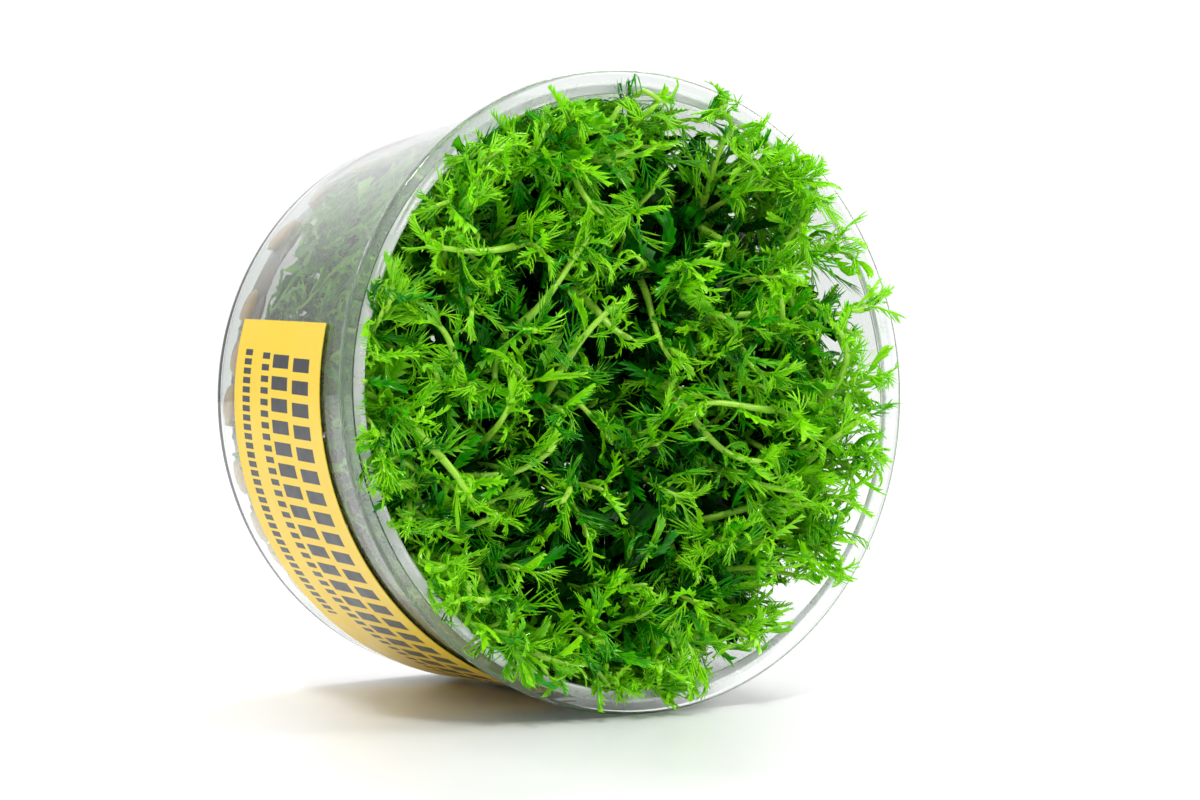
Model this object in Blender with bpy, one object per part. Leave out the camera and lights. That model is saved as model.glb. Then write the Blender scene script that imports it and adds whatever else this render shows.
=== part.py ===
# Tissue culture cup of snowflake myriophyllum, lying on its side, in metres with +Z up
# Everything is modelled in the cup's frame: Z along the cup's axis with the mouth at 0, Y up
import math
import random

import bmesh
import bpy
from mathutils import Matrix, Vector

# Clear cup
FLANGE_RADIUS = 0.050
FLANGE_THICKNESS = 0.0017
WALL_TOP_RADIUS = 0.04765
BASE_RADIUS = 0.0455
CUP_DEPTH = 0.0587
WALL = 0.0015
BASE_ROUND = 0.0025
SIDES = 40

# Gap kept between pieces that touch, and between a leaf's midline or edge and a surface
GAP = 0.0003
SURFACE_GAP = 0.0007

# Growing gel in the bottom of the cup, with pits for the root crowns
GEL_SURFACE = -0.0480
PIT_DEPTH = 0.0070
PIT_GAP = 0.00045

# Paper label stuck round the cup, angles from +X over the top
LABEL_START = math.radians(164.0)
LABEL_END = math.radians(263.0)
LABEL_FRONT = -0.0138
LABEL_BACK = -0.0486
LABEL_THICKNESS = 0.00015

# Places of the shoots, with the angle between each root and the next
SHOOT_COUNT = 42
ROOT_SPREAD = 0.0395
ROOT_EVENNESS = 0.47
GOLDEN_ANGLE = math.pi * (3.0 - math.sqrt(5.0))

# Root crowns, as heights and half widths, with the widest one
CROWN_RINGS = ((-0.0546, 0.0014), (-0.0520, 0.0026), (-0.0490, 0.0019), (-0.0468, 0.00062))
CROWN_HALF_WIDTH = 0.0026

# Stems, which run from 0 at the gel to 1 at the tip, with three waves on their way
STEM_HALF_WIDTH = 0.00062
STEM_WALL_GAP = 0.0022
STEM_TOP = 1.02
STEM_SEED = 100
WAVES = 3
WAVE_SIZE = 0.0030
WAVE_RATE = (0.8, 0.7)
WAVE_FADE = 0.6
TIP_SPREAD = 1.12
TIP_RISE = 0.0036
TIP_DROP = (-0.0018, 0.0060)
BARE_RINGS = (0.18, 0.36)

# Whorls of leaves along a stem
WHORLS = (0.53, 0.76, 0.95)
WHORL_SHIFT = 0.04
WHORL_HALF_HEIGHT = 0.0006
WHORL_SEED = 900

# Leaf blades: lengths and leans in degrees from the lowest whorl up
LEAF_LENGTH = (0.0128, 0.0122, 0.0098)
LEAF_LEAN = (68.0, 60.0, 48.0)
LENGTH_CHANGE = (0.9, 1.08)
LEAN_CHANGE = (-8.0, 8.0)
LEAF_HALF_WIDTH = 0.0019
LEAF_HALF_THICKNESS = 0.00022
LEAF_WIDEST = 0.52
LEAF_RISE = 0.16
LEAF_SEED = 5000

# Balls that stand for the leaves and stems where these are kept clear of each other
LEAF_BALLS = 11
LEAF_BALL_RADIUS = 0.0007
STEM_BALL_RADIUS = 0.0009
STEM_BALLS_START = 0.03

# Turns sideways, turns towards the tip and lengths that are tried for each leaf
LEAF_TRIES = (
    (0.0, 0.0, 1.0), (14.0, -10.0, 1.0), (-14.0, -12.0, 1.0), (0.0, -26.0, 0.95),
    (20.0, 6.0, 0.85), (-20.0, 6.0, 0.85), (0.0, -16.0, 0.75), (24.0, -24.0, 0.7),
    (-24.0, -24.0, 0.7), (0.0, -34.0, 0.6),
)


def clear_scene():
    """Remove every object."""
    for old in list(bpy.data.objects):
        bpy.data.objects.remove(old, do_unlink=True)


def wall_radius(height):
    """Outer radius of the cup's wall at a height on its axis."""
    fall = (-height - FLANGE_THICKNESS) / (CUP_DEPTH - FLANGE_THICKNESS)
    return WALL_TOP_RADIUS + (BASE_RADIUS - WALL_TOP_RADIUS) * max(0.0, fall)


def inner_radius(height):
    """Inner radius of the cup's wall at a height on its axis."""
    return wall_radius(height) - WALL


def resting_tilt():
    """Tilt of the cup's axis when its flange and its base edge both touch the ground."""
    run = CUP_DEPTH - BASE_ROUND - FLANGE_THICKNESS
    drop = FLANGE_RADIUS - (BASE_RADIUS - BASE_ROUND)
    return math.atan2(drop, run) - math.asin(BASE_ROUND / math.hypot(drop, run))


def cup_matrix():
    """Place of the cup's frame, with the mouth facing -Y and its low edge on the ground."""
    tilt = resting_tilt()
    turn = Matrix.Rotation(math.pi / 2.0 - tilt, 4, "X")
    low = turn @ Vector((0.0, -FLANGE_RADIUS, -FLANGE_THICKNESS))
    return Matrix.Translation((0.0, 0.0, -low.z)) @ turn


def material(name, colour, roughness, alpha=1.0):
    """A Principled material."""
    made = bpy.data.materials.new(name)
    made.use_nodes = True
    shader = made.node_tree.nodes["Principled BSDF"]
    shader.inputs["Base Color"].default_value = (*colour, 1.0)
    shader.inputs["Roughness"].default_value = roughness
    shader.inputs["Metallic"].default_value = 0.0
    shader.inputs["Alpha"].default_value = alpha
    return made


def add_object(name, bm, look, parent):
    """Turn a bmesh into a named object with a material, under the cup's frame."""
    bmesh.ops.recalc_face_normals(bm, faces=bm.faces)
    mesh = bpy.data.meshes.new(name)
    bm.to_mesh(mesh)
    bm.free()
    mesh.materials.append(look)
    made = bpy.data.objects.new(name, mesh)
    bpy.context.collection.objects.link(made)
    made.parent = parent
    return made


def facet_ring(radius, height, bm):
    """A ring of vertices whose flats, not corners, lie at the radius."""
    corner = radius / math.cos(math.pi / SIDES)
    ring = []
    for k in range(SIDES):
        angle = 2.0 * math.pi * (k + 0.5) / SIDES
        ring.append(bm.verts.new((corner * math.cos(angle), corner * math.sin(angle), height)))
    return ring


def join_rings(bm, first, second):
    """Quads between two closed rings with the same number of vertices."""
    count = len(first)
    for k in range(count):
        after = (k + 1) % count
        bm.faces.new((first[k], first[after], second[after], second[k]))


def turned(profile):
    """A solid turned from a profile that starts and ends on the axis."""
    bm = bmesh.new()
    rings = [facet_ring(radius, height, bm) for radius, height in profile]
    for first, second in zip(rings, rings[1:]):
        join_rings(bm, first, second)
    bm.faces.new(rings[0])
    bm.faces.new(rings[-1])
    return bm


def round_corner(radius, height, size, steps):
    """Points of a quarter circle from the underside out to the side."""
    points = []
    for k in range(steps + 1):
        angle = 0.5 * math.pi * k / steps
        points.append((radius - size + size * math.sin(angle), height + size - size * math.cos(angle)))
    return points


def build_cup(parent):
    """The clear cup: round-edged base, tapered wall and a flat flange round the mouth."""
    profile = round_corner(BASE_RADIUS, -CUP_DEPTH, BASE_ROUND, 3)
    profile.append((WALL_TOP_RADIUS, -FLANGE_THICKNESS))
    profile.append((FLANGE_RADIUS, -FLANGE_THICKNESS))
    profile.append((FLANGE_RADIUS, 0.0))
    profile.append((inner_radius(0.0), 0.0))
    inside = round_corner(BASE_RADIUS - WALL, -CUP_DEPTH + WALL, BASE_ROUND - WALL, 1)
    profile.extend(reversed(inside))
    look = material("clear_plastic", (0.86, 0.90, 0.88), 0.08, 0.35)
    return add_object("cup", turned(profile), look, parent)


def build_label(parent):
    """The plain paper label, wrapped round the side of the cup."""
    step = 2.0 * math.pi / SIDES
    corners = [step * (k + 0.5) for k in range(SIDES)]
    angles = [LABEL_START] + [a for a in corners if LABEL_START < a < LABEL_END] + [LABEL_END]
    bm = bmesh.new()
    sections = []
    for angle in angles:
        off_flat = (angle + 0.5 * step) % step - 0.5 * step
        section = []
        for height, lift in (
            (LABEL_FRONT, GAP), (LABEL_FRONT, GAP + LABEL_THICKNESS),
            (LABEL_BACK, GAP + LABEL_THICKNESS), (LABEL_BACK, GAP),
        ):
            reach = (wall_radius(height) + lift) / math.cos(off_flat)
            section.append(bm.verts.new((reach * math.cos(angle), reach * math.sin(angle), height)))
        sections.append(section)
    for first, second in zip(sections, sections[1:]):
        join_rings(bm, first, second)
    bm.faces.new(sections[0])
    bm.faces.new(sections[-1])
    return add_object("label", bm, material("label_paper", (0.95, 0.72, 0.10), 0.55), parent)


def root_place(index):
    """Where a shoot is planted, spread evenly over the gel."""
    radius = ROOT_SPREAD * ((index + 0.5) / SHOOT_COUNT) ** ROOT_EVENNESS
    angle = index * GOLDEN_ANGLE
    return Vector((radius * math.cos(angle), radius * math.sin(angle), 0.0))


def stem_point(index, t):
    """A point on a shoot's stem, from t = 0 at the gel to t = 1 at the growing tip."""
    chance = random.Random(STEM_SEED + index)
    sway = [chance.uniform(0.0, 2.0 * math.pi) for _ in range(WAVES)]
    drop = chance.uniform(*TIP_DROP)
    root = root_place(index)
    base = root.copy()
    base.z = GEL_SURFACE
    tip = root * TIP_SPREAD
    tip.z = TIP_RISE - drop
    point = base.lerp(tip, t)
    for wave, angle in enumerate(sway):
        rate = WAVE_RATE[0] + WAVE_RATE[1] * wave
        size = WAVE_SIZE * math.sin(math.pi * t * rate) / (1.0 + WAVE_FADE * wave)
        point += size * Vector((math.cos(angle), math.sin(angle), 0.0))
    reach = math.hypot(point.x, point.y)
    limit = inner_radius(min(0.0, point.z)) - STEM_WALL_GAP
    if reach > limit:
        point.x *= limit / reach
        point.y *= limit / reach
    return point


def stem_frame(index, t):
    """Direction of a stem and two directions across it."""
    ahead = stem_point(index, t + 0.01) - stem_point(index, t - 0.01)
    ahead.normalize()
    turn = index * GOLDEN_ANGLE * 2.0
    side = Vector((math.cos(turn), math.sin(turn), 0.0))
    across = ahead.cross(side).normalized()
    return ahead, across.cross(ahead).normalized(), across


def flat_frame(index):
    """Two directions across the foot of a stem, level with the gel."""
    _, side, _ = stem_frame(index, 0.0)
    side = Vector((side.x, side.y, 0.0)).normalized()
    return side, Vector((0.0, 0.0, 1.0)).cross(side)


def crown_frame(index):
    """Two directions across a root crown, level with the gel and square to the cup's wall."""
    out = root_place(index).normalized()
    foot, _ = flat_frame(index)
    quarter = 0.5 * math.pi
    turn = quarter * round(math.atan2(out.cross(foot).z, out.dot(foot)) / quarter)
    side = Matrix.Rotation(turn, 3, "Z") @ out
    return side, Vector((0.0, 0.0, 1.0)).cross(side)


def square_ring(bm, centre, side, across, half_width):
    """Four vertices round a stem."""
    corners = ((1, 1), (-1, 1), (-1, -1), (1, -1))
    return [bm.verts.new(centre + half_width * (a * side + b * across)) for a, b in corners]


def leaf_line(base, lean_out, ahead, lean, length, t):
    """A point on a leaf's midline, which leaves the stem at an angle and rises to its tip."""
    start = math.cos(lean) * ahead + math.sin(lean) * lean_out
    return base + length * (t * start + LEAF_RISE * t * t * ahead)


def leaf_width(t):
    """Half width of a leaf along its midline."""
    if t < LEAF_WIDEST:
        return STEM_HALF_WIDTH + (LEAF_HALF_WIDTH - STEM_HALF_WIDTH) * t / LEAF_WIDEST
    return LEAF_HALF_WIDTH * (1.0 - t) / (1.0 - LEAF_WIDEST)


class Space:
    """The balls that stand for what has been placed, to keep pieces clear of each other."""

    def __init__(self, place):
        self.balls = []
        self.place = place

    def inside(self, point):
        """Whether a point is clear of the cup, the gel and the ground."""
        reach = math.hypot(point.x, point.y)
        if point.z < GEL_SURFACE + SURFACE_GAP or (self.place @ point).z < SURFACE_GAP:
            return False
        if point.z > SURFACE_GAP:
            return reach < FLANGE_RADIUS
        return reach < inner_radius(point.z) - SURFACE_GAP

    def free(self, balls, own):
        """Whether balls are clear of all the others but what they grow from."""
        for point, size in balls:
            for other, other_size, owner in self.balls:
                if owner in own:
                    continue
                limit = size + other_size + GAP
                if (point - other).length_squared < limit * limit:
                    return False
        return True

    def add(self, balls, owner):
        """Keep the balls of a placed piece."""
        for point, size in balls:
            self.balls.append((point, size, owner))


def leaf_balls(base, lean_out, ahead, lean, length):
    """Balls along a leaf."""
    balls = []
    for k in range(1, LEAF_BALLS + 1):
        t = k / LEAF_BALLS
        size = max(LEAF_BALL_RADIUS, leaf_width(t))
        balls.append((leaf_line(base, lean_out, ahead, lean, length, t), size))
    return balls


def stem_balls(index):
    """Balls along the straight runs between a stem's rings."""
    stops = [STEM_BALLS_START] + [t for t, _ in stem_stations(index)] + [STEM_TOP]
    balls = []
    for first, second in zip(stops, stops[1:]):
        start, end = stem_point(index, first), stem_point(index, second)
        count = 1 + int((end - start).length / STEM_HALF_WIDTH)
        for k in range(count):
            balls.append((start.lerp(end, k / count), STEM_BALL_RADIUS))
    return balls


def place_leaf(space, index, whorl, number, base, out, ahead, across):
    """The first way of growing a leaf that keeps it clear of all the others."""
    chance = random.Random(LEAF_SEED + 4 * (len(WHORLS) * index + whorl) + number)
    length = LEAF_LENGTH[whorl] * chance.uniform(*LENGTH_CHANGE)
    lean = LEAF_LEAN[whorl] + chance.uniform(*LEAN_CHANGE)
    own = {(index, "stem"), (index, whorl, number)}
    for yaw, pitch, scale in LEAF_TRIES:
        turn = math.radians(yaw)
        lean_out = (math.cos(turn) * out + math.sin(turn) * across).normalized()
        angle = math.radians(lean + pitch)
        balls = leaf_balls(base, lean_out, ahead, angle, length * scale)
        wide = LEAF_HALF_WIDTH * lean_out.cross(ahead).normalized()
        middle = leaf_line(base, lean_out, ahead, angle, length * scale, LEAF_WIDEST)
        edges = [middle + wide, middle - wide] + [point for point, _ in balls[1:]]
        if all(space.inside(point) for point in edges) and space.free(balls[1:], own):
            space.add(balls, (index, whorl, number))
            return lean_out, angle, length * scale
    return None


def grow_leaf(bm, face, base, ahead, chosen):
    """Draw a leaf blade out of a face of the stem, wide in the middle and pointed."""
    lean_out, lean, length = chosen
    corners = [v.co.copy() for v in face.verts]
    wide = (corners[1] - corners[0]).normalized()
    made = bmesh.ops.extrude_discrete_faces(bm, faces=[face])
    blade = made["faces"][0]
    middle = leaf_line(base, lean_out, ahead, lean, length, LEAF_WIDEST)
    along = (leaf_line(base, lean_out, ahead, lean, length, 1.0) - middle).normalized()
    wide = (wide - wide.dot(along) * along).normalized()
    thick = along.cross(wide).normalized()
    centre = sum(corners, Vector()) / len(corners)
    for vertex in blade.verts:
        offset = vertex.co - centre
        side = 1.0 if offset.dot(wide) > 0.0 else -1.0
        rise = 1.0 if offset.dot(ahead) > 0.0 else -1.0
        upward = 1.0 if thick.dot(ahead) > 0.0 else -1.0
        vertex.co = middle + side * LEAF_HALF_WIDTH * wide + rise * upward * LEAF_HALF_THICKNESS * thick
    poked = bmesh.ops.poke(bm, faces=[blade])
    poked["verts"][0].co = leaf_line(base, lean_out, ahead, lean, length, 1.0)


def stem_stations(index):
    """Where a stem has its rings, with the whorl that each one starts, if any."""
    stations = [(t, None) for t in BARE_RINGS]
    step = WHORL_HALF_HEIGHT / (stem_point(index, 1.0).z - GEL_SURFACE)
    shift = random.Random(WHORL_SEED + index).uniform(-WHORL_SHIFT, WHORL_SHIFT)
    for whorl, place in enumerate(WHORLS):
        t = place + shift
        stations.append((t - step, whorl))
        stations.append((t + step, None))
    return stations


def build_shoot(index, parent, look, space):
    """One shoot: a root crown set in the gel, a stem, and whorls of four leaves."""
    bm = bmesh.new()
    rings = []
    for height, half_width in CROWN_RINGS:
        t = max(0.0, (height - GEL_SURFACE) / (TIP_RISE - GEL_SURFACE))
        side, across = flat_frame(index) if t > 0.0 else crown_frame(index)
        centre = stem_point(index, t)
        centre.z = height
        rings.append((square_ring(bm, centre, side, across, half_width), None, None))
    for t, whorl in stem_stations(index):
        ahead, side, across = stem_frame(index, t)
        centre = stem_point(index, t)
        rings.append((square_ring(bm, centre, side, across, STEM_HALF_WIDTH), whorl, t))
    tip = bm.verts.new(stem_point(index, STEM_TOP))
    bm.faces.new(list(reversed(rings[0][0])))
    leaf_faces = []
    for (lower, whorl, t), (upper, _, _) in zip(rings, rings[1:]):
        for k in range(4):
            after = (k + 1) % 4
            face = bm.faces.new((lower[k], lower[after], upper[after], upper[k]))
            if whorl is not None:
                leaf_faces.append((face, whorl, t, k))
    last = rings[-1][0]
    for k in range(4):
        bm.faces.new((last[k], last[(k + 1) % 4], tip))
    for face, whorl, t, number in leaf_faces:
        ahead, side, across = stem_frame(index, t)
        base = sum((v.co for v in face.verts), Vector()) / 4.0
        out = (base - stem_point(index, t)).cross(ahead).cross(ahead) * -1.0
        out.normalize()
        chosen = place_leaf(space, index, whorl, number, base, out, ahead, ahead.cross(out))
        if chosen is not None:
            grow_leaf(bm, face, base, ahead, chosen)
    return add_object("shoot_%02d" % (index + 1), bm, look, parent)


def build_gel(parent):
    """The disc of growing gel, with a pit for each root crown."""
    bottom = -CUP_DEPTH + WALL + GAP
    rise = BASE_ROUND - WALL
    profile = [
        (BASE_RADIUS - WALL - rise - GAP, bottom),
        (inner_radius(bottom + rise) - GAP, bottom + rise),
        (inner_radius(GEL_SURFACE) - GAP, GEL_SURFACE),
    ]
    gel = add_object("gel", turned(profile), material("gel", (0.80, 0.80, 0.72), 0.2, 0.6), parent)
    bm = bmesh.new()
    for index in range(SHOOT_COUNT):
        root = root_place(index)
        side, across = crown_frame(index)
        pit = []
        for height in (GEL_SURFACE - PIT_DEPTH, GEL_SURFACE + PIT_DEPTH):
            centre = Vector((root.x, root.y, height))
            pit.append(square_ring(bm, centre, side, across, CROWN_HALF_WIDTH + PIT_GAP))
        join_rings(bm, pit[0], pit[1])
        bm.faces.new(list(reversed(pit[0])))
        bm.faces.new(pit[1])
    cutter = add_object("pit_cutter", bm, material("cutter", (0.5, 0.5, 0.5), 0.5), parent)
    cutter.hide_render = True
    cutter.display_type = "WIRE"
    cut = gel.modifiers.new("pits", "BOOLEAN")
    cut.operation = "DIFFERENCE"
    cut.solver = "EXACT"
    cut.object = cutter
    return gel


def build_shoots(parent):
    """All the shoots, each kept clear of the others."""
    space = Space(parent.matrix_world)
    for index in range(SHOOT_COUNT):
        space.add(stem_balls(index), (index, "stem"))
    look = material("shoot_green", (0.16, 0.50, 0.03), 0.42)
    return [build_shoot(index, parent, look, space) for index in range(SHOOT_COUNT)]


def centre_on_ground(parent, pieces):
    """Move the cup's frame so that the middle of the whole box is over the origin."""
    bpy.context.view_layer.update()
    corners = [piece.matrix_world @ v.co for piece in pieces for v in piece.data.vertices]
    for axis in (0, 1):
        low = min(corner[axis] for corner in corners)
        high = max(corner[axis] for corner in corners)
        parent.location[axis] -= 0.5 * (low + high)
    parent.location[2] -= min(corner[2] for corner in corners)


def build():
    """Model the cup, its label, the gel and the shoots."""
    clear_scene()
    parent = bpy.data.objects.new("cup_frame", None)
    bpy.context.collection.objects.link(parent)
    parent.matrix_world = cup_matrix()
    bpy.context.view_layer.update()
    pieces = [build_cup(parent), build_label(parent), build_gel(parent)]
    pieces.extend(build_shoots(parent))
    centre_on_ground(parent, pieces)


build()
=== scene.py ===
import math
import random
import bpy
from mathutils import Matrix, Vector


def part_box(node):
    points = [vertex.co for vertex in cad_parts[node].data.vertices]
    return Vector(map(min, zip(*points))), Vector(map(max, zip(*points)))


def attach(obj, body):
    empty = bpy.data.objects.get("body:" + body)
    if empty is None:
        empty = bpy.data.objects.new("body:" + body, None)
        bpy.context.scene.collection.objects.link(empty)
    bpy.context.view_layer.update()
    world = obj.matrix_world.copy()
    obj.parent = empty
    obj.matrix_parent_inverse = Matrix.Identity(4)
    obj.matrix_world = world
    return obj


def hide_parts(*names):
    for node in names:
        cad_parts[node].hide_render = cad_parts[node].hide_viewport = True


bl_info = {
    "name": "Culture Cup of Snowflake Milfoil",
    "version": (1, 0, 0),
    "blender": (4, 5, 0),
    "location": "View3D > Sidebar > Culture Cup",
    "description": "Dresses a tissue culture cup packed with feathery milfoil shoots",
    "category": "Object",
}

import bpy
import numpy as np
from mathutils import Matrix, Vector

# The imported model, which every piece is fitted to
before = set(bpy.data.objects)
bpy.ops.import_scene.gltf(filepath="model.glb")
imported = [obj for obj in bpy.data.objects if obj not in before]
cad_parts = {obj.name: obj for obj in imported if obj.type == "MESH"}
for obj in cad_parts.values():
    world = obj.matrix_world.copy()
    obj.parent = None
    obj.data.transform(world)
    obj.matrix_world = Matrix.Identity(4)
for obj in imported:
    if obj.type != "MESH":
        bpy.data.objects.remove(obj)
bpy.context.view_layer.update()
BODY = "root"

# The cup, with the sizes that its solid has
CUP_LOW, CUP_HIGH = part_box("cup")
FLANGE_RADIUS = 0.5 * (CUP_HIGH.x - CUP_LOW.x)
FLANGE_THICKNESS = 0.0017
WALL_TOP_RADIUS = 0.04765
BASE_RADIUS = 0.0455
CUP_DEPTH = 0.0587
WALL = 0.0015
BASE_ROUND = 0.0025
GAP = 0.0003

# The cup's finer form: its rounded lip and edges, and how far the frosted end face reaches
LIP_ROUND = 0.0007
EDGE_ROUND = 0.0003
FROSTED_RADIUS = 0.0481
FROSTED_DEPTH = 0.0002
WALL_RINGS = (0.015, 0.030, 0.045)
SHARP_ANGLE = math.radians(35.0)

# The gel: its level, the room it leaves at the wall, its edge, and the waves on it
GEL_SURFACE = -0.0480
GEL_SHRINK = 0.0014
GEL_SIDE = 0.003
GEL_EDGE = ((0.0, 0.0), (0.0008, 0.0006))
GEL_HOLLOW = 0.0008
GEL_FLAT = 0.02
GEL_RINGS = 26
GEL_SIDES = 128
GEL_WAVY_DEPTH = 0.0009
GEL_WAVY_MARGIN = 0.001
GEL_WAVES = 6
GEL_WAVE_RATE = 900.0
GEL_SEED = 77

# The label's place on the wall, with angles from +X over the top
LABEL_START = math.radians(163.6)
LABEL_END = math.radians(263.0)
LABEL_FRONT = -0.0138
LABEL_BACK = -0.0486
LABEL_THICKNESS = 0.00015
LABEL_SKEW = math.radians(1.7)
LABEL_SLANT = 0.0010
LABEL_GRID = (120, 24)

# The course of each stem, as its solid runs
SHOOTS = sorted(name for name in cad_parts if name.startswith("shoot_"))
ROOT_SPREAD = 0.0395
ROOT_EVENNESS = 0.47
GOLDEN_ANGLE = math.pi * (3.0 - math.sqrt(5.0))
STEM_WALL_GAP = 0.0022
STEM_SEED = 100
WAVES = 3
WAVE_SIZE = 0.0030
WAVE_RATE = (0.8, 0.7)
WAVE_FADE = 0.6
TIP_SPREAD = 1.12
TIP_RISE = 0.0036
TIP_DROP = (-0.0018, 0.0060)
CROWN_BOTTOM = -0.0546

# The thickness of a root crown, and the course of the fleshy roots that swell out along the wall
CROWN_STEPS = 14
CROWN_SHARES = (0.0, 0.12, 0.35, 0.6, 0.8, 1.0)
CROWN_RADII = (0.0006, 0.0018, 0.0026, 0.0021, 0.0009, 0.0005)
BUD_ANGLES = (-5.0, 6.0)
BUD_HEIGHTS = (-0.0542, -0.0518)
BUD_LENGTH = 0.0066
BUD_RADIUS = 0.0021
BUD_STALK = 0.0004
BUD_STEPS = 12

# How stems are made up, and where side stems go
GROWTH_SEED = 4000
OUTER_ROOT = 0.0300
STEM_SIDES = 8
MAIN_STEPS = 42
SIDE_STEPS = 20
CREEPER_STEPS = 24
CREEPER_TURN = 0.12
CREEPER_RISE = 0.08
CREEPERS = ((-10.0, -0.034), (-4.0, -0.010), (4.0, -0.010), (10.0, -0.034))
WALL_ZONES = ((-0.021, -0.012), (-0.010, 0.001))
MOUTH_STEMS = 3
MOUTH_SPREAD = 1.08
MOUTH_REACH = 0.0440
RIM_ANGLES = (-8.0, 0.0, 8.0)
RIM_REACH = 0.0472
RIM_GAPS = (
    (math.radians(-48.0), 0.0047, 6),
    (math.radians(108.0), 0.0022, 6),
    (math.radians(-4.0), 0.0016, 4),
)
RUNNER_SHARE = 0.7

# How wet growth is held: off the wall, past the flange, off the floor, how softly, and from what
# height above the mouth it may leave the wall
PRESS_GAP = 0.00012
FLANGE_OVERHANG = 0.0004
FLOOR_GAP = 0.0003
PRESS_SOFTNESS = 0.0015
MOUTH_START = 0.0002
MOUTH_RISE = 0.0012

# The whorls: leaves in each, their lean at the tip of a stem and how much further they open, the
# length of its young end, and how size and youth change along it
WHORL_LEAVES = 4
TIP_LEAN = 24.0
OPENING = 44.0
CREEPER_OPENING = 8.0
YOUNG_END = 0.010
TIP_SIZE = 0.45
GROWN_SIZE = 0.55
TIP_YOUTH = 0.28
SHADE = (-0.03, 0.16)

# Painted shade darkens leaves with depth; how low leaves are made finely; share of leaves missing
DEPTH_START = -0.002
DEPTH_RANGE = 0.010
DEPTH_FALL = 0.3
DEPTH_SHADE = (-0.40, 0.10)
FINE_HEIGHT = -0.006
PLAIN_HEIGHT = -0.014
PLAIN_REACH = 0.038
MISSING_LEAVES = 0.16
MISSING_DEEP = 0.11

# Thinner growth on the right with painted backlight, and painted light on leaves at the wall
RIGHT_START = 0.010
RIGHT_WIDTH = 0.030
RIGHT_PAINTED_LIGHT = 0.22
RIGHT_HEIGHT = -0.005
MISSING_AT_RIGHT = 0.22
WALL_REACH = 0.037
WALL_HEIGHT = -0.003
WALL_PAINTED_LIGHT = (0.40, 0.95)

# Deep leaves stand in for several: longer, wider, thicker and webbed, with fewer threads
DEEP_LENGTH = 1.25
DEEP_REACH = 2.0
DEEP_THREAD = 1.5
DEEP_WEB = (0.8, 0.95)

# How leaves lie: share of all leaves, whether the threads are webbed by water, angle of the threads
# from the midrib in degrees, curl in radians, pairs of threads, their length beside an open leaf's,
# how far the web reaches along them, how far the two sides fold up, and how much lighter they are
LEAF_HABITS = (
    (0.13, False, (18.0, 36.0), (-0.9, 1.8), 6, 1.05, (0.0, 0.0), (0.0, 0.5), 0.00),
    (0.15, False, (16.0, 32.0), (1.8, 4.6), 6, 0.95, (0.0, 0.0), (0.1, 0.7), 0.06),
    (0.26, True, (16.0, 29.0), (-1.2, 2.6), 6, 0.95, (0.25, 0.45), (0.1, 1.1), 0.00),
    (0.08, True, (13.0, 19.0), (-0.7, 1.4), 7, 1.15, (0.65, 0.95), (0.0, 0.6), 0.10),
    (0.38, True, (15.0, 28.0), (2.2, 6.2), 6, 0.58, (0.30, 0.5), (0.2, 1.2), 0.14),
)

# The photograph's view
CAMERA_AZIMUTH = math.radians(-29.53)
CAMERA_ELEVATION = math.radians(3.46)
CAMERA_DISTANCE = 0.550
CAMERA_LENS = 107.04
AIM_ACROSS = -0.0061
AIM_HEIGHT = 0.0488
FLOOR_HALF = 1.0

# Each soft light: name, place, size, and power as a share of the key light's
LIGHT_AIM = (0.0, 0.0, 0.05)
SOFT_LIGHTS = (
    ("key_softbox", (-0.30, -0.45, 0.80), 0.15, 1.0),
    ("side_softbox", (0.62, -0.36, 0.42), 0.20, 0.5),
    ("back_softbox", (0.35, 0.45, 0.65), 0.22, 0.6),
)


def colour_prop(name, description, default):
    """A colour among the settings."""
    return bpy.props.FloatVectorProperty(
        name=name, description=description, default=default, subtype="COLOR", min=0.0, max=1.0,
    )


def length_prop(name, description, default):
    """A length among the settings."""
    return bpy.props.FloatProperty(
        name=name, description=description, default=default, unit="LENGTH",
    )


def level_prop(name, description, default):
    """A brightness among the settings."""
    return bpy.props.FloatProperty(name=name, description=description, default=default, min=0.0)


class CupSettings(bpy.types.PropertyGroup):
    """Finish of the clear cup."""

    sides: bpy.props.IntProperty(
        name="Sides", description="Segments round the cup", default=192, min=24,
    )
    tint: colour_prop("Tint", "Colour that the plastic takes on in its depth", (0.70, 0.78, 0.74))


class LabelSettings(bpy.types.PropertyGroup):
    """Colours of the paper label."""

    paper: colour_prop("Paper", "Colour of the printed paper", (0.94, 0.655, 0.014))
    ink: colour_prop("Ink", "Colour of the plain dashes", (0.035, 0.037, 0.045))


class GelSettings(bpy.types.PropertyGroup):
    """Look of the growing gel."""

    tint: colour_prop("Tint", "Colour that the gel takes on in its depth", (0.82, 0.80, 0.78))
    ripple: length_prop("Ripple", "Height of the waves on the gel", 0.0003)


class PlantSettings(bpy.types.PropertyGroup):
    """Sizes and colours of the shoots."""

    leaf_length: length_prop("Leaf length", "Length of a grown leaf", 0.0125)
    thread_length: length_prop("Thread length", "Length of an open leaf's thread", 0.0042)
    thread: length_prop("Thread", "Half thickness of a leaf's thread", 0.00018)
    stem: length_prop("Stem", "Radius of a grown stem", 0.00062)
    node_spacing: length_prop("Node spacing", "Distance between whorls", 0.0049)
    old_and_painted_shade_colour: colour_prop("Old leaf", "Colour of the oldest leaves", (0.002, 0.056, 0.001))
    grown_colour: colour_prop("Grown leaf", "Colour of grown leaves", (0.024, 0.440, 0.001))
    young_colour: colour_prop("Young leaf", "Colour of the youngest leaves", (0.375, 0.960, 0.008))
    stem_colour: colour_prop("Stem", "Colour of the stems", (0.420, 0.780, 0.060))
    root_colour: colour_prop("Root crown", "Colour of the root crowns", (1.000, 0.600, 0.250))


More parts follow.
